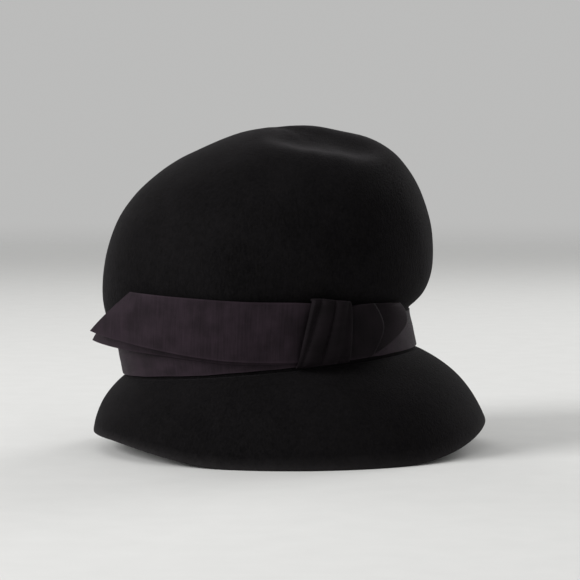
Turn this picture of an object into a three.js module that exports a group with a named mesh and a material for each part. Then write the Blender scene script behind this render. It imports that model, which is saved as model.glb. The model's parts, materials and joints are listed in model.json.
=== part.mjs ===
// Lampshade hat: a tall blown felt crown over a narrow collar, a felt brim that turns down all
// round, and a ribbed ribbon that bands the collar and is tied in a half bow on the right side.
// Millimetres, +Z up, +X towards the wearer's face. The origin is on the surface that the hat
// stands on, under the middle of the brim.
import * as THREE from "three";

// Driving dimensions
const FELT = 2; // thickness of the crown and brim
const RIBBON = 1; // thickness of the ribbon
const CLEAR = 0.4; // gap that neighbouring pieces keep
const SEAM_HEIGHT = 60; // of the collar's lower edge above the floor, at the collar's middle
const SEAM_SHIFT = -13.8; // of the collar's middle behind the middle of the brim
const CROWN_LEAN = 5.5; // degrees that the crown leans back when the hat stands on its brim

// Crown sections from the collar to the tip: height above the seam, and reach of the oval to the
// front, to the back and to each side of the collar's middle.
const CROWN_SECTIONS = [
  { up: 0.0, front: 100.5, back: 100.5, side: 82.0 },
  { up: 13.0, front: 99.0, back: 101.8, side: 81.6 },
  { up: 26.0, front: 97.8, back: 103.0, side: 81.5 },
  { up: 30.5, front: 103.0, back: 105.6, side: 85.8 },
  { up: 37.5, front: 110.5, back: 108.6, side: 91.6 },
  { up: 50.0, front: 116.5, back: 110.4, side: 97.0 },
  { up: 66.0, front: 118.8, back: 109.2, side: 98.6 },
  { up: 85.0, front: 118.2, back: 104.8, side: 96.6 },
  { up: 105.0, front: 114.0, back: 96.0, side: 91.0 },
  { up: 121.0, front: 106.6, back: 82.7, side: 82.0 },
  { up: 134.0, front: 96.0, back: 65.8, side: 70.0 },
  { up: 145.0, front: 81.5, back: 45.2, side: 54.5 },
  { up: 153.5, front: 60.0, back: 20.4, side: 36.5 },
  { up: 159.5, front: 38.5, back: -1.0, side: 17.5 },
];
const CROWN_TIP = { up: 161.5, ahead: 19 };

// Dents pressed into the crown: middle, half length, half width, half height and depth.
const CROWN_DENTS = [{ ahead: 52, right: 30, up: 146, long: 34, wide: 17, tall: 26, deep: 9 }];

// The brim's edge on the floor, and how far its front and back curl up from it. Each lift faces a
// turn, and grows between two distances from there in degrees. The front one leans to the left.
const BRIM_EDGE = { front: 136, back: 136, side: 123 };
const BRIM_LIFTS = [
  { faces: -11, rise: 19, from: 69, to: 9 },
  { faces: 180, rise: 11.5, from: 75, to: 26 },
];
const BRIM_BELLY = 0.1; // bulge of the brim's profile as a share of its chord

// The ribbon band covers the collar up to the crown's overhang.
const BAND = { low: 1.2, high: 26 };

// Ribbon strips of the bow, given by the places of their lower and upper edges: turn in degrees
// from the face over the right side, height above the seam, and gap out from the crown there.
const TAIL_UPPER = [
  { turnLow: 72.5, upLow: 7.5, gapLow: 4.8, turnHigh: 69.5, upHigh: 39.5, gapHigh: 3.8 },
  { turnLow: 82, upLow: 5, gapLow: 5.6, turnHigh: 77, upHigh: 43.5, gapHigh: 3.6 },
  { turnLow: 104, upLow: 10, gapLow: 8.8, turnHigh: 96, upHigh: 48, gapHigh: 3.8 },
  { turnLow: 130, upLow: 21, gapLow: 13, turnHigh: 117, upHigh: 54, gapHigh: 3.8 },
  { turnLow: 160, upLow: 34.5, gapLow: 18.5, turnHigh: 140, upHigh: 60, gapHigh: 4.5 },
];
const TAIL_LOWER = [
  { turnLow: 72.5, upLow: 7, gapLow: 3.2, turnHigh: 69.5, upHigh: 39, gapHigh: 2.2 },
  { turnLow: 82, upLow: 4, gapLow: 3.4, turnHigh: 77, upHigh: 42, gapHigh: 2.0 },
  { turnLow: 104, upLow: 7.5, gapLow: 3.4, turnHigh: 96, upHigh: 45, gapHigh: 2.0 },
  { turnLow: 132, upLow: 16, gapLow: 4.6, turnHigh: 117, upHigh: 49, gapHigh: 2.0 },
  { turnLow: 170, upLow: 26.5, gapLow: 18, turnHigh: 143, upHigh: 54, gapHigh: 2.4 },
];

// Loops of the bow, from the knot to the fold at the front: as above, with a gap for the inside
// layer and one for the outside layer, and the turn by which the middle reaches ahead of the edges.
const LOOP_UPPER = [
  { turnLow: 68, upLow: 8, insideLow: 5.2, outsideLow: 7.6,
    turnHigh: 66, upHigh: 36, insideHigh: 4.4, outsideHigh: 6.8, point: 0 },
  { turnLow: 63, upLow: 5.5, insideLow: 5.7, outsideLow: 8.25,
    turnHigh: 62.5, upHigh: 37.2, insideHigh: 4.7, outsideHigh: 7.2, point: 0.5 },
  { turnLow: 58, upLow: 3.5, insideLow: 6.4, outsideLow: 10,
    turnHigh: 58, upHigh: 38, insideHigh: 5, outsideHigh: 8.4, point: 2.5 },
  { turnLow: 52.9, upLow: 2.5, insideLow: 6.6, outsideLow: 11.4,
    turnHigh: 53.6, upHigh: 38, insideHigh: 5, outsideHigh: 9.2, point: 5 },
];
const LOOP_LOWER = [
  { turnLow: 68, upLow: 7.5, insideLow: 2, outsideLow: 4.5,
    turnHigh: 66, upHigh: 36.5, insideHigh: 1.2, outsideHigh: 3.7, point: 0 },
  { turnLow: 61.5, upLow: 5, insideLow: 2, outsideLow: 5,
    turnHigh: 57.5, upHigh: 38, insideHigh: 1, outsideHigh: 4.1, point: 2 },
  { turnLow: 55.5, upLow: 3.5, insideLow: 2, outsideLow: 5.5,
    turnHigh: 48, upHigh: 36.8, insideHigh: 1, outsideHigh: 4.4, point: 5.5 },
  { turnLow: 48.7, upLow: 4, insideLow: 2, outsideLow: 5.6,
    turnHigh: 37.6, upHigh: 35, insideHigh: 0.9, outsideHigh: 4.5, point: 12.4 },
];
const LOOP_BLUNT = 1.6; // 1 for a sharp point at the middle of a loop's end, 2 for a round end
const DEGREES_PER_MM = 0.57; // of turn, along the band

// The knot is a wrap that closes round the ends of the strips and is gathered in pleats. Its rows
// run from its front side to its back side.
const KNOT = [
  { turnLow: 60.5, upLow: 0.6, gapLow: 2.2, turnHigh: 61.5, upHigh: 41.5, gapHigh: 0.8, bulge: 10.4 },
  { turnLow: 67, upLow: 0.6, gapLow: 2.2, turnHigh: 66, upHigh: 43, gapHigh: 0.8, bulge: 9.3 },
  { turnLow: 73.5, upLow: 0.6, gapLow: 2.2, turnHigh: 70.5, upHigh: 45, gapHigh: 0.8, bulge: 7.6 },
  { turnLow: 80, upLow: 0.6, gapLow: 2.2, turnHigh: 75, upHigh: 46, gapHigh: 0.8, bulge: 6.9 },
];
const KNOT_WALL = 2;
const KNOT_SQUARE = 0.3; // 1 for a knot arched like a half oval, near 0 for a square one
const KNOT_PLEATS = { count: 3, deep: 0.8, slant: 0.6 };

// Facet counts
const AROUND = 56;
const CROWN_ROWS = 26;
const BRIM_ROWS = 7;
const BAND_ROWS = 2;
const TAIL_ROWS = 3;
const TAIL_STEPS = 4; // between two rows of a tail's table
const LOOP_ROWS = 6;
const LOOP_STEPS = 3; // between two rows of a loop's table
const FOLD_STEPS = 6; // in half a turn
const KNOT_ROWS = 11;
const KNOT_STEPS = 7; // between two rows of the knot's table

const radians = THREE.MathUtils.degToRad;
const steps = (count) => Array.from({ length: count + 1 }, (_, i) => i / count);

// A smooth path through a table's rows: returns the named columns at a row number.
function smoothTable(rows) {
  const columns = Object.keys(rows[0]);
  const values = rows.flatMap((row) => columns.map((column) => row[column]));
  const numbers = rows.map((_, i) => i);
  const result = new Array(columns.length);
  const spline = new THREE.CubicInterpolant(numbers, values, columns.length, result);
  return (place) => {
    spline.evaluate(THREE.MathUtils.clamp(place, 0, rows.length - 1));
    return Object.fromEntries(columns.map((column, i) => [column, result[i]]));
  };
}

// A point of an oval section, moved out by a gap.
function ovalPoint({ front, back, side, up }, turn, gap = 0) {
  const angle = radians(turn);
  const middle = (front - back) / 2;
  const half = (front + back) / 2 + gap;
  return new THREE.Vector3(middle + half * Math.cos(angle), -(side + gap) * Math.sin(angle), up);
}

const crownAt = smoothTable(CROWN_SECTIONS);

// The crown's section at a height, found by halving the range of row numbers.
function crownSection(up) {
  let low = 0;
  let high = CROWN_SECTIONS.length - 1;
  while (high - low > 1e-4) {
    const middle = (low + high) / 2;
    if (crownAt(middle).up < up) low = middle;
    else high = middle;
  }
  return { ...crownAt(low), up };
}

// A point at a height above the seam and a gap out from the crown there.
const crownPoint = (turn, up, gap) => ovalPoint(crownSection(up), turn, gap);

// How far the middle of a row reaches ahead of its edges, and how far a fold reaches ahead of both:
// further where the row is slanted, so that the fold is as round there.
function reachAhead(row, share) {
  const off = 2 * share - 1;
  const ahead = row.point * (1 - Math.abs(off) ** LOOP_BLUNT);
  const bend = 2 * row.point * LOOP_BLUNT * Math.abs(off) ** (LOOP_BLUNT - 1) * Math.sign(off);
  const slant = (row.turnHigh - row.turnLow + bend) / DEGREES_PER_MM / (row.upHigh - row.upLow);
  const fold = THREE.MathUtils.lerp(row.foldLow, row.foldHigh, share);
  return ahead + fold * DEGREES_PER_MM * Math.hypot(1, slant);
}

// A point of a ribbon between its two edges, straight from edge to edge but bent round the oval.
function ribbonPoint(row, share, stand = 0) {
  const mix = (low, high) => THREE.MathUtils.lerp(low, high, share);
  const low = crownSection(row.upLow);
  const high = crownSection(row.upHigh);
  const section = {};
  for (const column of ["front", "back", "side", "up"]) section[column] = mix(low[column], high[column]);
  const turn = mix(row.turnLow, row.turnHigh) - (row.point ? reachAhead(row, share) : 0);
  return ovalPoint(section, turn, mix(row.gapLow, row.gapHigh) + stand);
}

// A closed wall of even thickness behind a grid of points. Rows run upwards and columns clockwise
// seen from above, so that the grid is the outer face. A row of one point is a pole.
function wall(grid, thickness, { around = false, levelFoot = false } = {}) {
  const rows = grid.length;
  const columns = grid[0].length;
  const cells = around ? columns : columns - 1;
  const first = [];
  let count = 0;
  for (const row of grid) {
    first.push(count);
    count += row.length;
  }
  const place = (i, j) => first[i] + (grid[i].length === 1 ? 0 : j % columns);
  const outer = grid.flat();
  const faces = [];
  for (let i = 0; i < rows - 1; i++) {
    for (let j = 0; j < cells; j++) {
      const [a, b, c, d] = [place(i, j), place(i, j + 1), place(i + 1, j + 1), place(i + 1, j)];
      faces.push([a, d, b]);
      if (c !== d) faces.push([b, d, c]);
    }
  }

  const normals = outer.map(() => new THREE.Vector3());
  for (const [a, b, c] of faces) {
    const across = outer[c].clone().sub(outer[a]);
    const normal = outer[b].clone().sub(outer[a]).cross(across);
    for (const corner of [a, b, c]) normals[corner].add(normal);
  }
  const inner = outer.map((p, k) => p.clone().addScaledVector(normals[k].normalize(), -thickness));
  if (levelFoot) grid[0].forEach((p, j) => (inner[j].z = p.z));

  const index = [...faces, ...faces.map(([a, b, c]) => [a + count, c + count, b + count])];
  const rim = (a, b) => index.push([a, b, b + count], [a, b + count, a + count]);
  for (let j = 0; j < cells; j++) {
    rim(place(0, j), place(0, j + 1));
    if (grid[rows - 1].length > 1) rim(place(rows - 1, j + 1), place(rows - 1, j));
  }
  if (!around) {
    for (let i = 0; i < rows - 1; i++) {
      rim(place(i + 1, 0), place(i, 0));
      rim(place(i, columns - 1), place(i + 1, columns - 1));
    }
  }
  const geometry = new THREE.BufferGeometry().setFromPoints([...outer, ...inner]);
  geometry.setIndex(index.flat());
  geometry.computeVertexNormals();
  return geometry;
}

// Presses the dents into a point of the crown, towards its middle.
function dented(point) {
  const middle = new THREE.Vector3(CROWN_TIP.ahead, 0, CROWN_SECTIONS[0].up);
  const inwards = middle.sub(point).normalize();
  let depth = 0;
  for (const { ahead, right, up, long, wide, tall, deep } of CROWN_DENTS) {
    const away = [(point.x - ahead) / long, (point.y + right) / wide, (point.z - up) / tall];
    depth += deep * Math.exp(-(Math.hypot(...away) ** 2));
  }
  return point.addScaledVector(inwards, depth);
}

const turns = Array.from({ length: AROUND }, (_, j) => (360 * j) / AROUND);

function crownGeometry() {
  const last = CROWN_SECTIONS.length - 1;
  const grid = steps(CROWN_ROWS).map((share) => {
    const section = crownAt(share * last);
    return turns.map((turn) => dented(ovalPoint(section, turn)));
  });
  grid.push([dented(new THREE.Vector3(CROWN_TIP.ahead, 0, CROWN_TIP.up))]);
  return wall(grid, FELT, { around: true });
}

function bandGeometry() {
  const grid = steps(BAND_ROWS).map((share) => {
    const up = THREE.MathUtils.lerp(BAND.low, BAND.high, share);
    return turns.map((turn) => crownPoint(turn, up, CLEAR + RIBBON));
  });
  return wall(grid, RIBBON, { around: true });
}

// How far the brim's edge is lifted off the floor at a turn.
function brimLift(turn) {
  let lift = 0;
  for (const { faces, rise, from, to } of BRIM_LIFTS) {
    const away = Math.abs(THREE.MathUtils.euclideanModulo(turn - faces + 180, 360) - 180);
    lift += rise * THREE.MathUtils.smoothstep(from - away, 0, from - to);
  }
  return lift;
}

// The brim's profile at a turn: a bellied curve from its edge up to the seam.
function brimProfile(turn, seamFrame) {
  const edge = ovalPoint({ ...BRIM_EDGE, up: brimLift(turn) }, turn);
  const seam = ovalPoint({ ...CROWN_SECTIONS[0], up: -CLEAR }, turn).applyMatrix4(seamFrame);
  const chord = seam.clone().sub(edge);
  const outwards = new THREE.Vector3(-chord.x, -chord.y, 0).normalize();
  const rise = outwards.dot(chord) / chord.lengthSq();
  const normal = outwards.addScaledVector(chord, -rise).normalize();
  const belly = edge.clone().lerp(seam, 0.5).addScaledVector(normal, 2 * BRIM_BELLY * chord.length());
  return new THREE.QuadraticBezierCurve3(edge, belly, seam);
}

function brimGeometry(seamFrame) {
  const profiles = turns.map((turn) => brimProfile(turn, seamFrame));
  const grid = steps(BRIM_ROWS).map((share) => profiles.map((profile) => profile.getPoint(share)));
  return wall(grid, FELT, { around: true, levelFoot: true });
}

// A ribbon strip through rows that each give the places of its two edges.
function stripGeometry(rows, across) {
  const grid = steps(across).map((share) => rows.map((row) => ribbonPoint(row, share)));
  return wall(grid, RIBBON);
}

// Rows along a tail, from the knot to its cut end.
function tailRows(table) {
  const rowAt = smoothTable(table);
  const last = table.length - 1;
  return steps(last * TAIL_STEPS).map((share) => rowAt(share * last));
}

// Rows along a loop: its inside layer to the fold, half a turn there, and its outside layer back.
function loopRows(table) {
  const rowAt = smoothTable(table);
  const last = table.length - 1;
  const layer = (row, reach) => {
    const edge = (inside, outside) => {
      const radius = (outside - inside) / 2;
      return { gap: inside + radius * (1 - Math.cos(reach)), fold: radius * Math.sin(reach) };
    };
    const low = edge(row.insideLow, row.outsideLow);
    const high = edge(row.insideHigh, row.outsideHigh);
    return { ...row, gapLow: low.gap, gapHigh: high.gap, foldLow: low.fold, foldHigh: high.fold };
  };
  const along = steps(last * LOOP_STEPS).map((share) => rowAt(share * last));
  const inside = along.map((row) => layer(row, 0));
  const outside = along.map((row) => layer(row, Math.PI)).reverse();
  const fold = steps(FOLD_STEPS).slice(1, -1).map((share) => layer(along.at(-1), Math.PI * share));
  return [...inside, ...fold, ...outside];
}

function knotGeometry() {
  const rowAt = smoothTable(KNOT);
  const last = KNOT.length - 1;
  const { count, deep, slant } = KNOT_PLEATS;
  const grid = steps(KNOT_ROWS).map((across) => {
    const arch = Math.PI * across;
    const share = (1 - Math.cos(arch)) / 2;
    return steps(last * KNOT_STEPS).map((along) => {
      const row = rowAt(along * last);
      const pleat = Math.cos(2 * Math.PI * (count * along + slant * (across - 0.5)));
      return ribbonPoint(row, share, Math.sin(arch) ** KNOT_SQUARE * (row.bulge + deep * pleat));
    });
  });
  return wall(grid, KNOT_WALL);
}

const feltMaterial = new THREE.MeshStandardMaterial({ color: 0x0b0a0b, roughness: 0.95, metalness: 0 });
const ribbonMaterial = new THREE.MeshStandardMaterial({ color: 0x1d171c, roughness: 0.6, metalness: 0 });

function piece(name, geometry, material) {
  const mesh = new THREE.Mesh(geometry, material);
  mesh.name = name;
  return mesh;
}

// The crown and the ribbon lean back together on the brim.
const upper = new THREE.Group();
upper.position.set(SEAM_SHIFT, 0, SEAM_HEIGHT);
upper.rotation.y = -radians(CROWN_LEAN);
upper.updateMatrix();
upper.add(
  piece("crown", crownGeometry(), feltMaterial),
  piece("hat_band", bandGeometry(), ribbonMaterial),
  piece("bow_loop_upper", stripGeometry(loopRows(LOOP_UPPER), LOOP_ROWS), ribbonMaterial),
  piece("bow_loop_lower", stripGeometry(loopRows(LOOP_LOWER), LOOP_ROWS), ribbonMaterial),
  piece("bow_knot", knotGeometry(), ribbonMaterial),
  piece("bow_tail_upper", stripGeometry(tailRows(TAIL_UPPER), TAIL_ROWS), ribbonMaterial),
  piece("bow_tail_lower", stripGeometry(tailRows(TAIL_LOWER), TAIL_ROWS), ribbonMaterial),
);

const hat = new THREE.Group();
hat.add(upper, piece("brim", brimGeometry(upper.matrix), feltMaterial));

export default hat;
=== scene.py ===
# %% [markdown]
# # A lampshade hat in felt and ribbon
# The hat is a black fur felt: a tall blown crown swells out over a narrow collar, and a brim turns
# down all round. A ribbed ribbon bands the collar and is tied in a half bow on the wearer's right.
# This lesson dresses the CAD frame of the hat: each plain solid is replaced by a piece with the
# soft forms and finishes of the real one, in the same place and at the same size.
# The frame comes first, because every piece takes the place of one of its solids.

# %% Load the frame
import functools
import itertools
import json
import math
import bmesh
import bpy
from collections import namedtuple
from mathutils import Matrix, Vector, noise

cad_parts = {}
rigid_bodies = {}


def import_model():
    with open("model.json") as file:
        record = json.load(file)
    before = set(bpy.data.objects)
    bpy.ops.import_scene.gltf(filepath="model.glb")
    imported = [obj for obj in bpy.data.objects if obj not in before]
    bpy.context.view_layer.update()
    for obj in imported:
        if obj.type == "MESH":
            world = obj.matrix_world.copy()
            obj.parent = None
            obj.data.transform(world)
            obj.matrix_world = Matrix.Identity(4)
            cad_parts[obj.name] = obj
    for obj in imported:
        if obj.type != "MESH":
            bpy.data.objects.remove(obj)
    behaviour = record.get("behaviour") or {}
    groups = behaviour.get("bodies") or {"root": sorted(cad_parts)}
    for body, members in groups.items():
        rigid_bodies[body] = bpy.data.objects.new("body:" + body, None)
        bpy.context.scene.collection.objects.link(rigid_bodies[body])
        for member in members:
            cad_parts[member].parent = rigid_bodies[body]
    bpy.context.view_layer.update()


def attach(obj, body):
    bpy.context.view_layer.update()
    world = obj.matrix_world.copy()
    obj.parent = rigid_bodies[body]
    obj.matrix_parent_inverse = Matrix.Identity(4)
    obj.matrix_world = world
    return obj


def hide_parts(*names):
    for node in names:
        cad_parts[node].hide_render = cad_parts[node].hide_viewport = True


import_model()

# %% [markdown]
# ## The camera
# The hat is seen from the wearer's right side, square on, with the face to the right. It stands on
# its brim, so the camera is set just above the floor. A long lens from more than a metre away keeps
# the oval of the brim calm. The lens is worked out from the width that the picture takes in.

# %% Set up the camera
CAMERA_AZIMUTH = math.radians(0)  # 0 looks along +Y, at the right side of the hat
CAMERA_ELEVATION = math.radians(4)
CAMERA_DISTANCE = 1.6  # metres
PICTURE_WIDTH = 0.40  # metres across the picture at the hat
AIM_HEIGHT = 0.108
SENSOR_WIDTH = 36  # millimetres

camera_data = bpy.data.cameras.new("camera")
camera = bpy.data.objects.new("camera", camera_data)
bpy.context.scene.collection.objects.link(camera)
bpy.context.scene.camera = camera
camera_data.sensor_width = SENSOR_WIDTH
camera_data.lens = SENSOR_WIDTH * CAMERA_DISTANCE / PICTURE_WIDTH
aim = Vector((0, 0, AIM_HEIGHT))
back = Vector((
    math.sin(CAMERA_AZIMUTH) * math.cos(CAMERA_ELEVATION),
    -math.cos(CAMERA_AZIMUTH) * math.cos(CAMERA_ELEVATION),
    math.sin(CAMERA_ELEVATION),
))
camera.location = aim + back * CAMERA_DISTANCE
camera.rotation_euler = back.to_track_quat("Z", "Y").to_euler()
print("lens:", round(camera_data.lens, 1), "mm, camera at", [round(c, 3) for c in camera.location])

# %% [markdown]
# ## The shape of the block
# A felt crown is blown or blocked: steamed over a form and dried. The form is described here by a
# few oval sections from the collar to the tip, each with its reach to the front, the back and the
# sides. Heights are counted from the seam of collar and brim, and the whole upper part leans back a
# little when the hat stands on its brim.

# %% Sections of the crown
MM = 0.001
SEAM_HEIGHT = 60 * MM
SEAM_SHIFT = -13.8 * MM
CROWN_LEAN = math.radians(5.5)
HAT_FRAME = Matrix.Translation((SEAM_SHIFT, 0, SEAM_HEIGHT)) @ Matrix.Rotation(-CROWN_LEAN, 4, "Y")

Section = namedtuple("Section", "up front back side")  # millimetres
CROWN_SECTIONS = [
    Section(0.0, 100.5, 100.5, 82.0),
    Section(13.0, 99.0, 101.8, 81.6),
    Section(26.0, 97.8, 103.0, 81.5),
    Section(30.5, 103.0, 105.6, 85.8),
    Section(37.5, 110.5, 108.6, 91.6),
    Section(50.0, 116.5, 110.4, 97.0),
    Section(66.0, 118.8, 109.2, 98.6),
    Section(85.0, 118.2, 104.8, 96.6),
    Section(105.0, 114.0, 96.0, 91.0),
    Section(121.0, 106.6, 82.7, 82.0),
    Section(134.0, 96.0, 65.8, 70.0),
    Section(145.0, 81.5, 45.2, 54.5),
    Section(153.5, 60.0, 20.4, 36.5),
    Section(159.5, 38.5, -1.0, 17.5),
]
CROWN_TIP = Vector((19 * MM, 0, 161.5 * MM))

print("sections:", len(CROWN_SECTIONS), "and a tip at", round(CROWN_TIP.z / MM, 1), "mm")

# %% [markdown]
# ## Ovals at any height
# A smooth path through the sections gives an oval at any height, so the crown can have as many rings
# as it needs, and the ribbon is later laid on the same ovals. The path is a cubic curve through the
# rows of a table, as a flexible lath would lie, and the tables of the ribbons use it too.

# %% A smooth path through the sections
HALVINGS = 30  # of the range of rows in which a height is looked up


def smooth_row(rows, place):
    """Returns a row between the given ones, on a smooth path through them."""
    number = min(int(place), len(rows) - 2)
    share = place - number
    around = [rows[min(max(number + step, 0), len(rows) - 1)] for step in (-1, 0, 1, 2)]
    values = []
    for before, start, end, after in zip(*around):
        leave = (end - before) / 2
        arrive = (after - start) / 2
        bend = 2 * start - 2 * end + leave + arrive
        sweep = -3 * start + 3 * end - 2 * leave - arrive
        values.append(((bend * share + sweep) * share + leave) * share + start)
    return rows[0]._make(values)


@functools.cache
def crown_section(up):
    """Returns the crown's section at a height above the seam, in millimetres."""
    low, high = 0.0, len(CROWN_SECTIONS) - 1.0
    for _ in range(HALVINGS):
        middle = (low + high) / 2
        if smooth_row(CROWN_SECTIONS, middle).up < up:
            low = middle
        else:
            high = middle
    return smooth_row(CROWN_SECTIONS, low)


def oval_point(section, turn, gap=0.0):
    """Returns a point of an oval section; the turn runs from the face over the right side."""
    angle = math.radians(turn)
    middle = (section.front - section.back) / 2
    half = (section.front + section.back) / 2 + gap
    return Vector((middle + half * math.cos(angle), -(section.side + gap) * math.sin(angle), section.up)) * MM


print("crown at 50 mm above the seam:", [round(v, 1) for v in crown_section(50)])

# %% [markdown]
# ## Helpers for making pieces
# Blender's operators act on whatever is selected, so each piece starts with nothing selected. Each
# piece ends with its place in its mesh, and then it takes over from its CAD solid.

# %% Helpers for making pieces
FELT_SHARP = 60  # degrees between two faces from which their edge stays sharp


def start_piece():
    """Leaves nothing selected, so the next primitive is alone."""
    if bpy.context.object and bpy.context.object.mode != "OBJECT":
        bpy.ops.object.mode_set(mode="OBJECT")
    bpy.ops.object.select_all(action="DESELECT")


def pick(piece):
    """Selects one piece alone and makes it active."""
    start_piece()
    piece.select_set(True)
    bpy.context.view_layer.objects.active = piece


def apply_modifier(piece, kind, **settings):
    """Adds a modifier with its settings and applies it."""
    pick(piece)
    modifier = piece.modifiers.new(kind.lower(), kind)
    for name, value in settings.items():
        setattr(modifier, name, value)
    bpy.ops.object.modifier_apply(modifier=modifier.name)


def place_in_hat(piece):
    """Moves a piece made about the seam to its place on the leaning hat, and applies that."""
    pick(piece)
    piece.matrix_world = HAT_FRAME
    bpy.ops.object.transform_apply(location=True, rotation=True, scale=True)


def settle_piece(piece, node, sharp=FELT_SHARP):
    """Shades the piece smooth up to an angle and lets it stand for its CAD node."""
    pick(piece)
    bpy.ops.object.shade_smooth_by_angle(angle=math.radians(sharp))
    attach(piece, "root")
    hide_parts(node)
    heights = [round(vertex.co.z / MM, 1) for vertex in piece.data.vertices]
    print(piece.name, "faces:", len(piece.data.polygons), "from", min(heights), "to", max(heights))


def smooth_step(value, low, high):
    """Returns 0 below low, 1 above high, and a smooth ramp between them."""
    share = min(max((value - low) / (high - low), 0), 1)
    return share * share * (3 - 2 * share)


print("a smooth step, a quarter of the way along:", round(smooth_step(0.25, 0, 1), 3))

# %% [markdown]
# ## The crown
# A hatter pulls the felt over a block, and the form grows from the collar upwards. This cell raises
# it ring by ring: a circle takes the oval of the collar, is extruded upwards, and each new ring is
# resized to the next section. The last ring is merged to the tip. Spinning a profile would not do,
# because the sections are ovals whose middles wander forwards. The first ring is a lip below the
# seam, tucked into the brim, so that no light shows through between the two.

# %% Raise the crown from a ring
FELT = 2.0 * MM
AROUND = 96
CROWN_RINGS = 34
COLLAR_LIP = Section(-2.7, 100.3, 100.3, 81.8)

last = len(CROWN_SECTIONS) - 1
crown_rings = [smooth_row(CROWN_SECTIONS, ring / CROWN_RINGS * last) for ring in range(CROWN_RINGS + 1)]
start_piece()
bpy.ops.mesh.primitive_circle_add(vertices=AROUND, radius=1, fill_type="NOTHING")
crown = bpy.context.object
crown.name = "crown_felt"
bpy.ops.object.mode_set(mode="EDIT")
bpy.ops.mesh.select_all(action="SELECT")
# The circle as it was added: its middle, half its length, half its width and its height
middle, half, side, up = 0.0, 1.0, 1.0, 0.0
for section in [COLLAR_LIP] + crown_rings:
    new_middle = (section.front - section.back) / 2 * MM
    new_half = (section.front + section.back) / 2 * MM
    rise = section.up * MM - up
    step = (new_middle - middle, 0, rise)
    if section is COLLAR_LIP:
        bpy.ops.transform.translate(value=step)
    else:
        bpy.ops.mesh.extrude_region_move(TRANSFORM_OT_translate={"value": step})
    bpy.ops.transform.resize(
        value=(new_half / half, section.side * MM / side, 1),
        center_override=(new_middle, 0, section.up * MM),
    )
    middle, half, side, up = new_middle, new_half, section.side * MM, section.up * MM
bpy.ops.mesh.extrude_region_move(TRANSFORM_OT_translate={"value": CROWN_TIP - Vector((middle, 0, up))})
bpy.ops.mesh.merge(type="CENTER")
bpy.ops.mesh.select_all(action="SELECT")
bpy.ops.mesh.normals_make_consistent(inside=False)
bpy.ops.object.mode_set(mode="OBJECT")
print("crown rings:", len(crown_rings) + 1, "vertices:", len(crown.data.vertices))

# %% [markdown]
# ## Dents and soft corners
# Felt that has been handled is never a perfect dome. A dent runs along the right of the tip, and
# the top has a few soft corners where a hand has pinched it. Proportional editing is the tool for
# this: some points are picked by their place and pushed, and their neighbours follow.

# %% Press the crown
Press = namedtuple("Press", "ahead right up long wide push reach")  # millimetres
CROWN_PRESSES = [
    Press(ahead=52, right=30, up=146, long=20, wide=6, push=-9.0, reach=30),
    Press(ahead=88, right=2, up=140, long=5, wide=24, push=1.4, reach=26),
    Press(ahead=22, right=4, up=161, long=6, wide=20, push=0.8, reach=24),
    Press(ahead=112, right=18, up=110, long=8, wide=30, push=1.0, reach=30),
    Press(ahead=-40, right=62, up=118, long=14, wide=14, push=-2.2, reach=42),
    Press(ahead=28, right=88, up=92, long=16, wide=12, push=-1.6, reach=40),
]
PRESS_CENTRE = Vector((CROWN_TIP.x, 0, 60 * MM))


def press_crown(piece, press):
    """Pushes the points round a place along the line from the crown's centre, with soft falloff."""
    place = Vector((press.ahead, -press.right, press.up)) * MM
    bpy.ops.object.mode_set(mode="EDIT")
    bpy.ops.mesh.select_all(action="DESELECT")
    mesh = bmesh.from_edit_mesh(piece.data)
    for vertex in mesh.verts:
        off = vertex.co - place
        near = (off.x / (press.long * MM)) ** 2 + (off.y / (press.wide * MM)) ** 2
        vertex.select_set(near < 1 and abs(off.z) < press.reach * MM)
    mesh.select_flush_mode()
    chosen = sum(vertex.select for vertex in mesh.verts)
    bmesh.update_edit_mesh(piece.data)
    outwards = (place - PRESS_CENTRE).normalized()
    bpy.ops.transform.translate(
        value=outwards * press.push * MM,
        use_proportional_edit=True,
        proportional_edit_falloff="SMOOTH",
        proportional_size=press.reach * MM,
    )
    bpy.ops.object.mode_set(mode="OBJECT")
    return chosen


pick(crown)
for press in CROWN_PRESSES:
    print("press at", press.ahead, press.right, press.up, "moved", press_crown(crown, press), "points")

# %% [markdown]
# ## Steaming the tip
# Where the rings were merged, the crown still has a small point. A hatter would hold it over steam
# and stroke it round. Smoothing the points near the tip a few times does the same, and leaves the
# rest of the crown as it is.

# %% Steam the tip round
STEAM_REACH = 22 * MM
STEAM_FACTOR = 0.5
STEAM_TIMES = 5


def steam_round(piece, place, reach):
    """Smooths the points within a reach of a place."""
    bpy.ops.object.mode_set(mode="EDIT")
    bpy.ops.mesh.select_all(action="DESELECT")
    mesh = bmesh.from_edit_mesh(piece.data)
    for vertex in mesh.verts:
        vertex.select_set((vertex.co - place).length < reach)
    mesh.select_flush_mode()
    bmesh.update_edit_mesh(piece.data)
    bpy.ops.mesh.vertices_smooth(factor=STEAM_FACTOR, repeat=STEAM_TIMES)
    bpy.ops.object.mode_set(mode="OBJECT")


steam_round(crown, CROWN_TIP, STEAM_REACH)
print("highest point of the crown:", round(max(vertex.co.z for vertex in crown.data.vertices) / MM, 1))

# %% [markdown]
# ## The felt's thickness
# Felt is a wall about two millimetres thick. Solidify gives the crown an inside, a subdivision
# rounds everything, and a soft noise moves the surface by a fraction of a millimetre, so that light
# runs over it as it does over steamed felt. The collar is left out of that, because the band lies
# close on it.

# %% Give the crown its wall
LUMP_SIZE = 0.045  # metres
LUMP_HEIGHT = 1.4 * MM
EVEN_BELOW = 32 * MM  # heights above the seam between which the unevenness grows
UNEVEN_ABOVE = 55 * MM

felt_unevenness = bpy.data.textures.new("felt_unevenness", "CLOUDS")
felt_unevenness.noise_scale = LUMP_SIZE
felt_unevenness.noise_depth = 2

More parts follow.
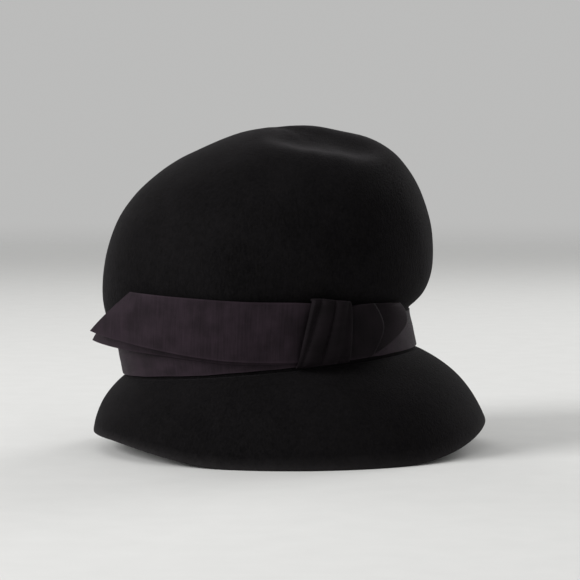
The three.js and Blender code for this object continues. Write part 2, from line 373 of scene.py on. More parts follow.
apply_modifier(crown, "SOLIDIFY", thickness=FELT, offset=-1, use_even_offset=True)
apply_modifier(crown, "SUBSURF", levels=1, render_levels=1)
above_band = crown.vertex_groups.new(name="above_band")
for vertex in crown.data.vertices:
    above_band.add([vertex.index], smooth_step(vertex.co.z, EVEN_BELOW, UNEVEN_ABOVE), "REPLACE")
apply_modifier(
    crown, "DISPLACE", vertex_group="above_band",
    texture=felt_unevenness, texture_coords="LOCAL", strength=LUMP_HEIGHT, mid_level=0.5,
)
place_in_hat(crown)
settle_piece(crown, "crown")

# %% [markdown]
# ## The brim's shape
# The brim is a second wall of felt that turns down from the seam. Its edge dips at the two sides,
# where the hat stands, and curls up at the front and the back; the front's lift leans a little to
# the left. In profile it is a bellied curve, a sheet of felt that was steamed downwards. These
# functions give a point of it for any turn.

# %% Shape the brim's profile
BRIM_EDGE = Section(0.0, 136.0, 136.0, 123.0)
BRIM_BELLY = 0.1  # bulge of the profile as a share of its chord
SEAM_GAP = 0.4  # millimetres between brim and collar
WAVER_HEIGHT = 1.2  # millimetres
WAVER_WAVES = 2.2  # about so many to a radian of turn
WAVER_DRAWN = 0.6  # the waves are longer from seam to edge
WAVER_GROWS = (0.1, 0.6)  # shares of the way to the edge
Lift = namedtuple("Lift", "faces rise start end")  # degrees, and the rise in millimetres
BRIM_LIFTS = [Lift(-11, 19.0, 69, 9), Lift(180, 11.5, 75, 26)]


def brim_lift(turn):
    """Returns how far the edge is lifted off the floor at a turn, in millimetres."""
    lift = 0.0
    for faces, rise, start, end in BRIM_LIFTS:
        away = abs((turn - faces + 180) % 360 - 180)
        lift += rise * smooth_step(start - away, 0, start - end)
    return lift


def brim_point(turn, share):
    """Returns a point of the brim at a turn, from the seam at 0 to the edge at 1."""
    seam = HAT_FRAME @ oval_point(CROWN_SECTIONS[0]._replace(up=-SEAM_GAP), turn)
    edge = oval_point(BRIM_EDGE._replace(up=brim_lift(turn)), turn)
    chord = edge - seam
    outwards = Vector((chord.x, chord.y, 0)).normalized()
    normal = (outwards - chord * outwards.dot(chord) / chord.length_squared).normalized()
    belly = (seam + edge) / 2 + normal * 2 * BRIM_BELLY * chord.length
    angle = math.radians(turn)
    spot = Vector((math.cos(angle), math.sin(angle), share * WAVER_DRAWN))
    waver = noise.noise(spot * WAVER_WAVES)
    point = seam * (1 - share) ** 2 + belly * 2 * share * (1 - share) + edge * share ** 2
    return point + normal * waver * WAVER_HEIGHT * MM * smooth_step(share, *WAVER_GROWS)


print("brim front at half way:", [round(c / MM, 1) for c in brim_point(0, 0.5)])

# %% [markdown]
# ## Turning the brim down
# Each ring of the brim is extruded from the last, as for the crown, but its points are moved one by
# one, because the edge is not flat. Every point keeps its turn in an attribute, which extruding
# copies to the next ring. A second attribute marks the felt that hands have rubbed, along the edge.

# %% Turn the brim down ring by ring
BRIM_RINGS = 16
RUBBED_FROM = 0.9  # share of the way to the edge

# The circle's size is free, because its points only give the turns
start_piece()
bpy.ops.mesh.primitive_circle_add(vertices=AROUND, radius=0.1, fill_type="NOTHING")
brim = bpy.context.object
brim.name = "brim_felt"
brim.data.attributes.new("turn", "FLOAT", "POINT")
brim.data.attributes.new("rubbed", "FLOAT", "POINT")
bpy.ops.object.mode_set(mode="EDIT")
bpy.ops.mesh.select_all(action="SELECT")
for ring in range(BRIM_RINGS + 1):
    if ring:
        bpy.ops.mesh.extrude_region_move()
    mesh = bmesh.from_edit_mesh(brim.data)
    turn_of = mesh.verts.layers.float["turn"]
    rubbed = mesh.verts.layers.float["rubbed"]
    for vertex in mesh.verts:
        if not vertex.select:
            continue
        if ring == 0:
            vertex[turn_of] = math.degrees(math.atan2(-vertex.co.y, vertex.co.x))
        vertex[rubbed] = smooth_step(ring / BRIM_RINGS, RUBBED_FROM, 1.0)
        vertex.co = brim_point(vertex[turn_of], ring / BRIM_RINGS)
    bmesh.update_edit_mesh(brim.data)
bpy.ops.mesh.select_all(action="SELECT")
bpy.ops.mesh.normals_make_consistent(inside=False)
bpy.ops.object.mode_set(mode="OBJECT")
upwards = sum(face.normal.z for face in brim.data.polygons) / len(brim.data.polygons)
print("brim rings:", BRIM_RINGS + 1, "vertices:", len(brim.data.vertices))
print("mean of the normals upwards:", round(upwards, 2))

# %% [markdown]
# ## The brim's wall and cut edge
# The edge is a plain cut with no binding, so a subdivision is enough to round its corners. Where
# the hat stands, the soft edge is pressed flat: no point stays below the floor.

# %% Give the brim its wall
apply_modifier(brim, "SOLIDIFY", thickness=FELT, offset=-1, use_even_offset=True)
apply_modifier(brim, "SUBSURF", levels=1, render_levels=1)
pressed = 0
for vertex in brim.data.vertices:
    if vertex.co.z < 0:
        vertex.co.z = 0
        pressed += 1
settle_piece(brim, "brim")
print("points pressed flat on the floor:", pressed)

# %% [markdown]
# ## Ribbon as a flat strip
# A ribbon is a flat strip, so each of its points has one share along and one across. On the hat the
# point lies between the strip's two edges, bent round the oval of the crown. The ribs of the weave
# run straight across a ribbon, however its end is cut. So a grid of laid points is also measured,
# to find how far along the flat ribbon each one lies. On a fold that distance is counted from both
# ends, and a wrap runs over its grid the other way.

# %% Places on a ribbon
Strip = namedtuple("Strip", "turn_low up_low gap_low turn_high up_high gap_high")  # degrees and millimetres


def blend(low, high, share):
    """Returns the value between two others."""
    return low + (high - low) * share


def ribbon_point(row, across, stand=0.0):
    """Returns a point between a strip's two edges: straight across, but bent round the oval."""
    low = crown_section(row.up_low)
    high = crown_section(row.up_high)
    section = Section._make(blend(a, b, across) for a, b in zip(low, high))
    turn = blend(row.turn_low, row.turn_high, across)
    return oval_point(section, turn, blend(row.gap_low, row.gap_high, across) + stand)


def run_lengths(line):
    """Returns how far along a line of points each of them lies."""
    strides = ((after - before).length for before, after in zip(line, line[1:]))
    return list(itertools.accumulate(strides, initial=0.0))


def rib_distances(grid, lie):
    """Returns how far along the flat ribbon each point of a grid lies."""
    if lie == "wrapped":
        return list(zip(*(run_lengths(line) for line in zip(*grid))))
    ahead = (grid[0][1] - grid[0][0]).normalized()
    distances = []
    for line in grid:
        start = (line[0] - grid[0][0]).dot(ahead)
        run = run_lengths(line)
        if lie == "folded":
            run = [min(step, run[-1] - step) for step in run]
        distances.append([start + step for step in run])
    return distances


collar = [oval_point(CROWN_SECTIONS[0], turn) for turn in range(361)]
print("once round the collar:", round(run_lengths(collar)[-1] / MM), "mm")

# %% [markdown]
# ## Laying ribbon
# Each ribbon starts as a grid, a function of the two shares lays its points on the hat, and Solidify
# gives the cloth its thickness. The UV map keeps each point's place on the flat ribbon, in metres,
# for the weave. Two attributes mark the selvedges and the ribbon near the knot, where the colour is
# painted darker as shade. A cloth simulation could drape the strips too, but they are short and sewn
# down in known places, so they are laid there directly.

# %% A helper that lays ribbon
RIBBON = 0.7 * MM
RIBBON_WIDTH = 40 * MM
RIBBON_SHARP = 40  # degrees
WELD = 0.01 * MM  # the closed band's two ends are merged
KNOT_TURN = 68  # degrees from the face
KNOT_UP = 22  # millimetres above the seam
KNOT_STAND = 8  # millimetres out from the crown
KNOT_MIDDLE = oval_point(crown_section(KNOT_UP), KNOT_TURN, KNOT_STAND)
STRIP_SHADE_REACH = 28 * MM  # distances from the knot within which the ribbon's colour is painted darker as shade
BOW_SHADE_REACH = 90 * MM
SHADE_CORE = 0.4  # share of that distance within which the painted shade is full


def lay_ribbon(name, place, columns, rows, lie="laid", thick=RIBBON, shade_reach=STRIP_SHADE_REACH):
    """Lays a grid by a function of its shares, and marks painted shade within a distance of the knot.

    Returns the ribbon and its flat size.
    """
    start_piece()
    bpy.ops.mesh.primitive_grid_add(x_subdivisions=columns, y_subdivisions=rows, size=1)
    ribbon = bpy.context.object
    ribbon.name = name
    grid = [[place(i / columns, j / rows) for i in range(columns + 1)] for j in range(rows + 1)]
    distances = rib_distances(grid, lie)
    selvedge = ribbon.data.attributes.new("selvedge", "FLOAT", "POINT")
    gathered = ribbon.data.attributes.new("gathered", "FLOAT", "POINT")
    flat_places = []
    for vertex in ribbon.data.vertices:
        along = 0.5 - vertex.co.x
        across = 0.5 + vertex.co.y
        i, j = round(along * columns), round(across * rows)
        side = along if lie == "wrapped" else across
        selvedge.data[vertex.index].value = abs(2 * side - 1)
        flat_places.append((distances[j][i], side * RIBBON_WIDTH))
        vertex.co = grid[j][i]
        off = (vertex.co - KNOT_MIDDLE).length
        # Painted shade: the ribbon near the knot is marked to take a darker colour, fully within the core.
        gathered.data[vertex.index].value = 1 - smooth_step(off, shade_reach * SHADE_CORE, shade_reach)
    for corner, spot in zip(ribbon.data.loops, ribbon.data.uv_layers.active.data):
        spot.uv = flat_places[corner.vertex_index]
    if lie == "closed":
        bpy.ops.object.mode_set(mode="EDIT")
        bpy.ops.mesh.select_all(action="SELECT")
        bpy.ops.mesh.remove_doubles(threshold=WELD)
        bpy.ops.object.mode_set(mode="OBJECT")
    middle = [line[columns // 2] for line in grid] if lie == "wrapped" else grid[rows // 2]
    length = run_lengths(middle)[-1]
    flat = (sum(face.area for face in ribbon.data.polygons) / length, length)
    apply_modifier(ribbon, "SOLIDIFY", thickness=thick, offset=-1, use_even_offset=True)
    place_in_hat(ribbon)
    print(name, "would lie flat as", [round(size / MM) for size in flat], "mm")
    return ribbon, flat


print("knot's middle, from the seam:", [round(c / MM, 1) for c in KNOT_MIDDLE], "mm")

# %% [markdown]
# ## The band
# A ribbon is drawn tight round the collar, and its two ends meet under the knot. Tight ribbon still
# wavers a little at its edges. The upper edge is tucked under the swell of the crown.

# %% Draw the band round the collar
BAND_LOW = 1.2
BAND_HIGH = 26.0
BAND_STAND = 1.4  # millimetres from the felt to the outside of the band
EDGE_WAVER = 0.35  # millimetres up and down
EDGE_WAVES = 6
LOOSE_WAVER = 0.15  # millimetres in and out
LOOSE_WAVES = 9
WAVES_DRAWN = 0.5  # the waves are longer across the band


def band_point(along, across):
    """Returns a point of the band; the turn starts under the knot."""
    turn = KNOT_TURN + 360 * along
    angle = math.radians(turn)
    around = Vector((math.cos(angle), math.sin(angle), across * WAVES_DRAWN))
    waver = EDGE_WAVER * noise.noise(around * EDGE_WAVES) * abs(2 * across - 1)
    stand = BAND_STAND + LOOSE_WAVER * noise.noise(around * LOOSE_WAVES)
    return oval_point(crown_section(blend(BAND_LOW, BAND_HIGH, across) + waver), turn, stand)


band, band_flat = lay_ribbon("ribbon_band", band_point, columns=240, rows=10, lie="closed")
settle_piece(band, "hat_band", sharp=RIBBON_SHARP)

# %% [markdown]
# ## Ripples and puckers
# Tied ribbon is never quite smooth. Soft ripples run along it, and fine puckers start at the knot,
# where it is drawn together, and fade out. Both are heights that are added to a strip's gap from the
# crown, so the tails and the loops can share two small functions.

# %% Helpers for ripples and puckers
Ripple = namedtuple("Ripple", "along across apart")
Pucker = namedtuple("Pucker", "deep waves slant end fade")
TAIL_RIPPLE = Ripple(along=4.0, across=1.2, apart=7)
TAIL_PUCKER = Pucker(deep=0.35, waves=17, slant=0, end=0.22, fade=0.2)


def ripple_height(ripple, waver, along, across):
    """Returns the ripple's height in millimetres; strips that waver differently differ in it."""
    return waver * noise.noise(Vector((along * ripple.along, across * ripple.across, waver * ripple.apart)))


def pucker_height(pucker, along, across, off):
    """Returns the height of the puckers in millimetres, which fade with the share off from the knot."""
    wave = pucker.deep * math.sin(across * pucker.waves + along * pucker.slant)
    return wave * smooth_step(pucker.end - off, 0, pucker.fade)


print("puckers of a tail:", [round(pucker_height(TAIL_PUCKER, 0, side / 4, 0), 2) for side in range(5)])

# %% [markdown]
# ## The tails of the bow
# Two tails of a wider ribbon leave the knot and run to the back, one on the other. They climb as
# they go, with the upper edge on the swell of the crown, and their lower edges leave the band
# towards the ends, which are cut on a slant. Each row of a table gives the places of both edges: the
# turn from the face, the height above the seam, and the gap out from the crown.

# %% Lay the two tails
TAIL_UPPER = [
    Strip(72.5, 4.4, 4.8, 69.5, 39.5, 3.8),
    Strip(82, 5, 5.6, 77, 43.5, 3.6),
    Strip(104, 10, 8.8, 96, 48, 3.8),
    Strip(130, 21, 13, 117, 54, 3.8),
    Strip(160, 34.5, 18.5, 140, 60, 4.5),
]
TAIL_LOWER = [
    Strip(72.5, 4, 3.2, 69.5, 39, 2.2),
    Strip(82, 4, 3.4, 77, 42, 2.0),
    Strip(104, 7.5, 3.4, 96, 45, 2.0),
    Strip(132, 16, 4.6, 117, 49, 2.0),
    Strip(170, 26.5, 18, 143, 54, 2.4),
]


def tail_maker(rows, waver):
    """Returns the function that lays a tail through a table's rows."""
    def tail_point(along, across):
        ripple = ripple_height(TAIL_RIPPLE, waver, along, across)
        pucker = pucker_height(TAIL_PUCKER, along, across, along)
        return ribbon_point(smooth_row(rows, along * (len(rows) - 1)), across, ripple + pucker)
    return tail_point


for name, node, rows, waver in (
    ("ribbon_tail_upper", "bow_tail_upper", TAIL_UPPER, 0.5),
    ("ribbon_tail_lower", "bow_tail_lower", TAIL_LOWER, 0.3),
):
    tail, tail_flat = lay_ribbon(name, tail_maker(rows, waver), columns=110, rows=24)
    settle_piece(tail, node, sharp=RIBBON_SHARP)

# %% [markdown]
# ## The loops of the bow
# On the face side of the knot the ribbon is folded back on itself in two flat loops, a short one
# over a longer one. A loop is one strip: its inside layer runs from the knot to the fold, takes
# half a turn there, and its outside layer runs back. Each row of a table gives a gap for both
# layers. The knot gathers the strip, so the middle of the loop's end reaches further ahead than its
# edges, and the fold is widened where the end is slanted, so that it stays as round there.

# %% Tables for the two loops
LOOP_BLUNT = 1.6  # 1 for a sharp point at the middle of a loop's end, 2 for a round end
DEGREES_PER_MM = 0.57  # of turn, along the band
# A row has degrees and millimetres as a strip has, and its point is in degrees
Loop = namedtuple("Loop", "turn_low up_low in_low out_low turn_high up_high in_high out_high point")
LOOP_UPPER = [
    Loop(68, 5, 5.2, 7.6, 66, 36, 4.4, 6.8, 0),
    Loop(63, 4.6, 5.7, 8.25, 62.5, 37.2, 4.7, 7.2, 0.5),
    Loop(58, 3.5, 6.4, 10, 58, 38, 5, 8.4, 2.5),
    Loop(52.9, 2.5, 6.6, 11.4, 53.6, 38, 5, 9.2, 5),
]
LOOP_LOWER = [
    Loop(68, 4.6, 2, 4.5, 66, 36.5, 1.2, 3.7, 0),
    Loop(61.5, 4.2, 2, 5, 57.5, 38, 1, 4.1, 2),
    Loop(55.5, 3.5, 2, 5.5, 48, 36.8, 1, 4.4, 5.5),
    Loop(48.7, 4, 2, 5.6, 37.6, 35, 0.9, 4.5, 12.4),
]


def reach_ahead(row, across, fold):
    """Returns the degrees by which a loop's point lies ahead of the line between its edges."""
    off = 2 * across - 1
    ahead = row.point * (1 - abs(off) ** LOOP_BLUNT)
    bend = 2 * row.point * LOOP_BLUNT * abs(off) ** (LOOP_BLUNT - 1) * math.copysign(1, off)
    slant = (row.turn_high - row.turn_low + bend) / DEGREES_PER_MM / (row.up_high - row.up_low)
    return ahead + fold * DEGREES_PER_MM * math.hypot(1, slant)


print("lower loop's end is ahead by", round(reach_ahead(LOOP_LOWER[-1], 0.5, 0), 1), "degrees")

# %% [markdown]
# ## Folding a loop
# The share along the strip says how far round the fold a point is, and how far it is from the knot.
# Between the two layers the strip turns half a circle, as wide as their gap. The outside layer has a
# crease near the fold, as left by fingers that pinched it, with fine wrinkles over it.

# %% Fold the two loops
FOLD_SHARE = 0.14  # of the strip's length, in the half turn
LOOP_RIPPLE = Ripple(along=9, across=2.5, apart=11)
LOOP_PUCKER = Pucker(deep=0.4, waves=21, slant=3, end=0.45, fade=0.4)
CREASE_PLACE = 0.78  # share of the way from knot to fold
CREASE_WIDE = 0.16
CREASE_GROWS = (0.4, 0.8)  # shares across, from the lower edge
WRINKLE_DEEP = 0.14  # share of the crease's height
WRINKLE_WAVES = 58
WRINKLE_SLANT = 9
OUTSIDE_GROWS = (0.5, 0.6)  # shares along the strip, from the middle of the fold


def loop_maker(rows, waver, crease):
    """Returns the function that lays a loop; a crease stands up on its outside near the fold."""
    layer = (1 - FOLD_SHARE) / 2

    def loop_point(along, across):
        reach = math.pi * min(max((along - layer) / FOLD_SHARE, 0), 1)
        place = min(along, 1 - along, layer) / layer
        row = smooth_row(rows, place * (len(rows) - 1))
        inside = blend(row.in_low, row.in_high, across)
        radius = (blend(row.out_low, row.out_high, across) - inside) / 2
        ahead = reach_ahead(row, across, radius * math.sin(reach))
        stand = inside + radius * (1 - math.cos(reach))
        stand += ripple_height(LOOP_RIPPLE, waver, along, across)
        stand += pucker_height(LOOP_PUCKER, along, across, place)
        ridge = math.exp(-((place - CREASE_PLACE) / CREASE_WIDE) ** 2) * smooth_step(across, *CREASE_GROWS)
        wrinkles = 1 + WRINKLE_DEEP * math.sin(across * WRINKLE_WAVES - place * WRINKLE_SLANT)
        stand += crease * ridge * wrinkles * smooth_step(along, *OUTSIDE_GROWS)
        strip = Strip(row.turn_low - ahead, row.up_low, 0, row.turn_high - ahead, row.up_high, 0)
        return ribbon_point(strip, across, stand)
    return loop_point


for name, node, rows, waver, crease in (
    ("ribbon_loop_upper", "bow_loop_upper", LOOP_UPPER, 0.35, 0.3),
    ("ribbon_loop_lower", "bow_loop_lower", LOOP_LOWER, 0.25, 1.5),
):
    laid_loop = loop_maker(rows, waver, crease)
    loop, loop_flat = lay_ribbon(name, laid_loop, columns=140, rows=32, lie="folded", shade_reach=BOW_SHADE_REACH)
    settle_piece(loop, node, sharp=RIBBON_SHARP)

# %% [markdown]
# ## The knot
# A short piece of the same ribbon is wrapped over the ends of loops and tails and sewn down behind.
# It is gathered into three pleats that run over the wrap. A pleat leans over its neighbour, so the
# share along the knot is pushed back and forth as the surface goes up and down. The two sides of
# the wrap are rolled in, so that they lie close on the strips below.

# %% Wrap the knot
Wrap = namedtuple("Wrap", "turn_low up_low gap_low turn_high up_high gap_high bulge")  # as for a strip
KNOT = [
    Wrap(60.5, 0.6, 2.2, 61.5, 41.5, 0.8, 10.4),
    Wrap(67, 0.6, 2.2, 66, 43, 0.8, 9.3),
    Wrap(73.5, 0.6, 2.2, 70.5, 45, 0.8, 7.6),
    Wrap(80, 0.6, 2.2, 75, 46, 0.8, 6.9),
]
KNOT_WALL = 1.6 * MM  # two gathered layers
KNOT_SQUARE = 0.3  # 1 for a half oval arch, near 0 for a square one
KNOT_ROLL = 1.7  # millimetres
ROLL_FROM = 0.78  # share of the way from the knot's middle to its sides
KNOT_PLEATS = 3
PLEAT_DEEP = 1.1  # millimetres
PLEAT_LEAN = 0.04  # share along the knot
PLEAT_SLANT = 0.6  # pleats that a line straight across passes
PLEAT_WANDER = 0.3  # pleats to a millimetre of pinch
PINCH_DEEP = 0.25  # millimetres
PINCH_WAVES = 3
PINCH_LAYER = 4  # place in the noise's third direction


def knot_point(along, across):
    """Returns a point of the wrap; the arch across it runs from the lower to the upper side."""
    arch = math.pi * across
    pinch = PINCH_DEEP * noise.noise(Vector((along * PINCH_WAVES, across * PINCH_WAVES, PINCH_LAYER)))
    pleats = KNOT_PLEATS * along + PLEAT_SLANT * (across - 0.5) + PLEAT_WANDER * pinch
    pleat = 2 * math.pi * pleats
    lean = min(max(along + PLEAT_LEAN * math.sin(pleat) * math.sin(math.pi * along), 0), 1)
    row = smooth_row(KNOT, lean * (len(KNOT) - 1))
    rolled = smooth_step(abs(2 * along - 1), ROLL_FROM, 1)
    height = row.bulge + blend(PLEAT_DEEP * math.cos(pleat) + pinch, -KNOT_ROLL, rolled)
    return ribbon_point(row, (1 - math.cos(arch)) / 2, math.sin(arch) ** KNOT_SQUARE * height)


knot, knot_flat = lay_ribbon(
    "ribbon_knot", knot_point, columns=90, rows=72, lie="wrapped", thick=KNOT_WALL, shade_reach=BOW_SHADE_REACH,
)
settle_piece(knot, "bow_knot", sharp=RIBBON_SHARP)

# %% [markdown]
# ## Writing materials as sums
# A material is a graph of nodes, but its maths is easier to read as a sum. This class wraps a
# socket: adding, taking away or multiplying sockets and numbers adds the Math nodes for it. One
# method adds a node of any other kind.

# %% A socket that can be added up


class Socket:
    """A shader socket in an expression."""

    def __init__(self, tree, socket=None):
        self.tree = tree
        self.socket = socket

    def node(self, kind, settings=None, inputs=None, output=0):
        """Adds a node, sets its settings, fills or links its inputs and returns one output."""
        made = self.tree.nodes.new(kind)
        for name, value in (settings or {}).items():
            setattr(made, name, value)
        for name, value in (inputs or {}).items():
            self.feed(made.inputs[name], value)
        return Socket(self.tree, made.outputs[output])

    def feed(self, entry, value):
        """Links a socket to an input, or sets the input to a plain value."""
        if isinstance(value, Socket):
            self.tree.links.new(value.socket, entry)
        else:
            entry.default_value = value

    def maths(self, operation, first, second=0.0):
        """Adds a Math node."""
        return self.node("ShaderNodeMath", {"operation": operation}, {0: first, 1: second})

    def ramp(self, low, high):
        """Returns 0 below low, 1 above high and a smooth ramp between them."""
        limits = {"Value": self, "From Min": low, "From Max": high}
        return self.node("ShaderNodeMapRange", {"interpolation_type": "SMOOTHSTEP"}, limits)

    def __add__(self, other):
        return self.maths("ADD", self, other)

    def __radd__(self, other):
        return self.maths("ADD", other, self)

    def __sub__(self, other):
        return self.maths("SUBTRACT", self, other)

    def __rsub__(self, other):
        return self.maths("SUBTRACT", other, self)

    def __mul__(self, other):
        return self.maths("MULTIPLY", self, other)

    def __rmul__(self, other):
        return self.maths("MULTIPLY", other, self)


print("shader sums are ready")

# %% [markdown]
# ## Starting a material
# Every material here starts from a Principled BSDF. Two more helpers mix colours, which a Math node
# would turn grey, and make noises whose size is counted in waves to the metre.

# %% Helpers for materials


def start_material(name):
    """Returns a new material, a start for its sums and its shader's inputs."""
    material = bpy.data.materials.new(name)
    material.use_nodes = True
    tree = material.node_tree
    return material, Socket(tree), tree.nodes["Principled BSDF"].inputs


def mix_colours(share, first, second):
    """Returns a mix of two colours; each is a socket or a plain colour."""
    mixed = {0: share, 6: first, 7: second}
    return share.node("ShaderNodeMix", {"data_type": "RGBA"}, mixed, output=2)


def noise_at(place, scale, detail=2.0, roughness=0.5):
    """Returns a noise of so many waves to the metre."""
    inputs = {"Vector": place, "Scale": scale, "Detail": detail, "Roughness": roughness}
    return place.node("ShaderNodeTexNoise", None, inputs)


print("material helpers are ready")

# %% [markdown]
# ## Black fur felt
# Fur felt is a mat of fine hairs, brushed flat and clipped. It drinks light: nearly black, with no
# gloss, only a soft bloom where the hairs are seen edge on, which Sheen gives. Noises of several
# sizes vary it: broad clouds where the dye and the pressing differ, a mottle of a few millimetres,
# tufts of hairs, and the nap itself. One more is drawn out downwards, along the brushing. Felt that
# hands have rubbed is greyer.

# %% Felt material
FELT_DARK = (0.0005, 0.0004, 0.0005, 1)
FELT_LIGHT = (0.0080, 0.0072, 0.0078, 1)
FELT_RUBBED = (0.026, 0.024, 0.025, 1)
FELT_NAP = 0.7 * MM  # height of the bump
BRUSHING = (1.0, 1.0, 0.22)  # draws a noise out downwards
SOFT = (0.3, 0.7)  # limits of a noise that give it a little contrast

felt, sums, shader = start_material("black_fur_felt")
place = sums.node("ShaderNodeTexCoord", output="Object")
brushing = sums.node("ShaderNodeMapping", None, {"Vector": place, "Scale": BRUSHING})
clouds = noise_at(place, 24, 3)
mottle = noise_at(place, 240, 4, 0.6)
tufts = noise_at(place, 620, 3, 0.6)
nap = noise_at(place, 2000, 3, 0.65)
brushed = noise_at(brushing, 800, 3, 0.6)
rubbed = sums.node("ShaderNodeAttribute", {"attribute_name": "rubbed"}, output="Fac")

broad = clouds.ramp(*SOFT) * 0.22 + mottle.ramp(*SOFT) * 0.16
fine = tufts.ramp(*SOFT) * 0.22 + (nap.ramp(*SOFT) * 0.2 + brushed.ramp(*SOFT) * 0.2)
tone = broad + fine
felt_colour = mix_colours(tone, FELT_DARK, FELT_LIGHT)
rub = rubbed * (0.35 + mottle * 0.5)
sums.feed(shader["Base Color"], mix_colours(rub, felt_colour, FELT_RUBBED))
sums.feed(shader["Roughness"], 0.80 + nap * 0.18)
height = (nap * 0.45 + brushed * 0.4) + (tufts * 0.5 + mottle * 0.35)
felt_bump = {"Height": height, "Strength": 0.8, "Distance": FELT_NAP}
sums.feed(shader["Normal"], sums.node("ShaderNodeBump", None, felt_bump))
shader["Specular IOR Level"].default_value = 0.04
shader["Sheen Weight"].default_value = 0.065
shader["Sheen Roughness"].default_value = 0.4
shader["Sheen Tint"].default_value = (0.55, 0.52, 0.55, 1)

for piece in (crown, brim):
    piece.data.materials.clear()
    piece.data.materials.append(felt)
print("felt nodes:", len(felt.node_tree.nodes))

# %% [markdown]
# ## Ribbed ribbon
# The ribbon is a grosgrain: a thick weft under a fine warp makes ribs across it, about fourteen to
# the centimetre. The flat map is in metres, so a sine of its length makes the ribs at their true
# pitch. Each rib has a slightly different tone, as yarns do, and the selvedges are denser. The
# black has a little aubergine in it, and the fine warp gives a low gloss. Near the knot the colour
# is painted darker as shade, and the ribbon is rougher there.

# %% Ribbon material
RIB_PITCH = 0.7 * MM
RIB_HEIGHT = 0.12 * MM
YARN_STRETCH = (1.0, 0.05, 1.0)  # draws a noise out across the ribbon
OPEN_DARK = (0.0074, 0.0050, 0.0067, 1)
OPEN_LIGHT = (0.0330, 0.0218, 0.0300, 1)
# Painted shade: darker copies of the ribbon's colours, for the ribbon near the knot.
PAINTED_SHADE_DARK = (0.0020, 0.0014, 0.0018, 1)
PAINTED_SHADE_LIGHT = (0.0104, 0.0072, 0.0094, 1)
SELVEDGE = (0.93, 0.97)  # shares of the way from the middle to the edge

ribbon_cloth, sums, shader = start_material("black_ribbed_ribbon")
flat_map = sums.node("ShaderNodeUVMap")
along = sums.node("ShaderNodeSeparateXYZ", None, {"Vector": flat_map}, output="X")
ribs = sums.maths("SINE", along * (2 * math.pi / RIB_PITCH))
yarn_map = sums.node("ShaderNodeMapping", None, {"Vector": flat_map, "Scale": YARN_STRETCH})
yarns = noise_at(yarn_map, 900, 2)
warp = noise_at(flat_map, 2200, 2)
handling = noise_at(flat_map, 60, 3)
edge = sums.node("ShaderNodeAttribute", {"attribute_name": "selvedge"}, output="Fac").ramp(*SELVEDGE)
gathered = sums.node("ShaderNodeAttribute", {"attribute_name": "gathered"}, output="Fac")

weave = ribs * 0.12 + (yarns.ramp(0.25, 0.75) * 0.24 + warp * 0.2)
tone = weave + (handling.ramp(*SOFT) * 0.34 + edge * 0.15)
open_colour = mix_colours(tone, OPEN_DARK, OPEN_LIGHT)
# Painted shade: near the knot the ribbon's colour is mixed towards the darker copy; it is also rougher there.
painted_shade_colour = mix_colours(tone, PAINTED_SHADE_DARK, PAINTED_SHADE_LIGHT)
sums.feed(shader["Base Color"], mix_colours(gathered, open_colour, painted_shade_colour))
sums.feed(shader["Roughness"], 0.46 + (yarns * 0.12 + handling * 0.10) + gathered * 0.14)
height = ribs * 0.5 * (1 - edge * 0.7) + (warp * 0.35 + yarns * 0.4)
ribbon_bump = {"Height": height, "Strength": 0.6, "Distance": RIB_HEIGHT}
sums.feed(shader["Normal"], sums.node("ShaderNodeBump", None, ribbon_bump))
shader["Specular IOR Level"].default_value = 0.07
shader["Sheen Weight"].default_value = 0.025
shader["Sheen Roughness"].default_value = 0.4
shader["Sheen Tint"].default_value = (0.60, 0.50, 0.58, 1)

ribbon_pieces = [piece for piece in bpy.data.objects if piece.name.startswith("ribbon_")]
for piece in ribbon_pieces:
    piece.data.materials.clear()
    piece.data.materials.append(ribbon_cloth)
print("ribbon pieces:", sorted(piece.name for piece in ribbon_pieces))

# %% [markdown]
# ## The floor and the sky
# A pale floor fades out into an even pale sky, so there is no horizon and nothing competes with the
# black hat. The fade is in the floor's Alpha, by the distance from the hat.

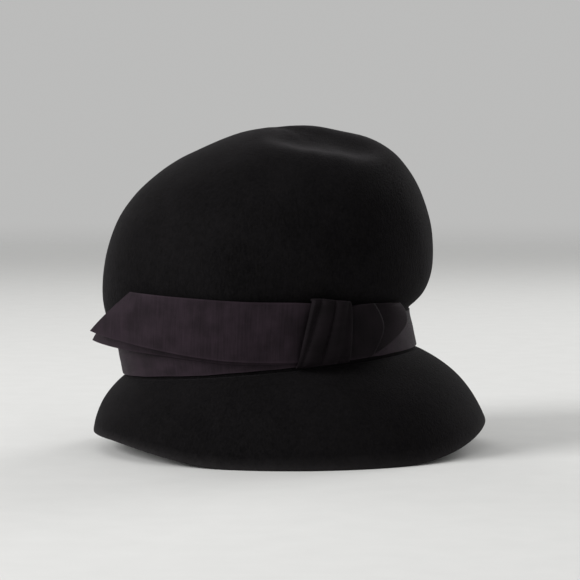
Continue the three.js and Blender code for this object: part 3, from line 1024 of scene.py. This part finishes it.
# %% Floor and sky
FLOOR_SIZE = 10  # metres
FLOOR_FADE = (1.2, 4.0)  # metres from the hat
FLOOR_DARK = (0.66, 0.66, 0.65, 1)
FLOOR_LIGHT = (0.71, 0.71, 0.70, 1)
SKY_COLOUR = (0.50, 0.50, 0.495, 1)

start_piece()
bpy.ops.mesh.primitive_plane_add(size=FLOOR_SIZE)
floor = bpy.context.object
floor.name = "studio_floor"
paper, sums, shader = start_material("pale_floor")
place = sums.node("ShaderNodeTexCoord", output="Object")
away = sums.node("ShaderNodeVectorMath", {"operation": "LENGTH"}, {0: place}, output="Value")
grain = noise_at(place, 40, 4)
sums.feed(shader["Base Color"], mix_colours(grain, FLOOR_DARK, FLOOR_LIGHT))
sums.feed(shader["Alpha"], 1 - away.ramp(*FLOOR_FADE))
shader["Roughness"].default_value = 0.9
shader["Specular IOR Level"].default_value = 0.1
floor.data.materials.append(paper)

sky = bpy.data.worlds.new("pale_sky")
sky.use_nodes = True
sky.node_tree.nodes["Background"].inputs["Color"].default_value = SKY_COLOUR
bpy.context.scene.world = sky
bpy.context.scene.view_settings.view_transform = "Standard"
print("floor:", floor.name, "sky:", sky.name)

# %% [markdown]
# ## The light
# Black needs a large, soft light to show its form: the key stands on the left, so the back of the
# crown and the tails catch it while the knot stays dark. A weak fill comes from the right, and two
# soft lights on the far side lift the outline and show the hat's other sides.

# %% Lights
Lamp = namedtuple("Lamp", "name place size power")  # metres and watts
LAMPS = [
    Lamp("key", (-2.6, -1.3, 1.5), 1.4, 25),
    Lamp("fill", (2.2, -2.0, 1.0), 1.6, 1),
    Lamp("rim", (-1.4, 2.3, 1.8), 1.6, 4),
    Lamp("front", (1.8, 2.1, 1.4), 1.4, 9),
]
LAMP_SPREAD = math.radians(90)  # a narrow beam leaves the floor under the lamps in the sky's light

for lamp in LAMPS:
    light_data = bpy.data.lights.new(lamp.name, "AREA")
    light_data.shape = "SQUARE"
    light_data.size = lamp.size
    light_data.energy = lamp.power
    light_data.spread = LAMP_SPREAD
    light = bpy.data.objects.new(lamp.name, light_data)
    light.location = lamp.place
    light.rotation_euler = (Vector(lamp.place) - aim).to_track_quat("Z", "Y").to_euler()
    bpy.context.scene.collection.objects.link(light)
print("lamps:", [lamp.name for lamp in LAMPS])
